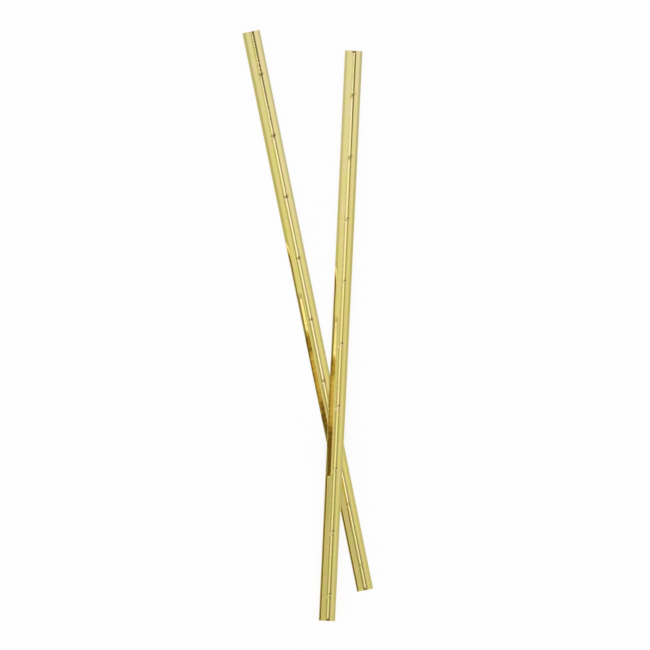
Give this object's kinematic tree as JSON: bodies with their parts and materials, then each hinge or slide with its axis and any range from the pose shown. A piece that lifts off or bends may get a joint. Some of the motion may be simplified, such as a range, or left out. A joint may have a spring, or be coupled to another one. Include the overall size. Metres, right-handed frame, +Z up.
{
  "type": "metallic twist tie pair",
  "caption": "Pair of loose, straight, flat twist ties laid across each other, each a steel wire bonded between gold foil films, for closing bags and bundles by hand.",
  "frame": {"origin": "on the surface that the pair lies on, under the middle of the pair's box", "axes": "+Z up from the surface; +Y along the pair, towards the ends of the ties that lie furthest apart; +X to the right, seen from above"},
  "size_m": [0.0292, 0.1316, 0.002],
  "materials": {
    "gold_foil": "metallised plastic film, satin gold foil with fine lengthwise streaks",
    "bond_adhesive": "thin translucent laminating adhesive, pale amber",
    "tie_wire": "soft annealed steel wire, dull grey, sheared ends"
  },
  "bodies": {
    "lower_tie": {"lower_tie_front_film": "gold_foil", "lower_tie_adhesive": "bond_adhesive", "lower_tie_wire": "tie_wire", "lower_tie_back_film": "gold_foil"},
    "upper_tie": {"upper_tie_front_film": "gold_foil", "upper_tie_adhesive": "bond_adhesive", "upper_tie_wire": "tie_wire", "upper_tie_back_film": "gold_foil"}
  },
  "joints": [
    {"name": "upper_tie_lift", "type": "slide", "parent": "lower_tie", "child": "upper_tie", "axis": [0, 0, 1], "range_m": [0, 0.05]}
  ]
}
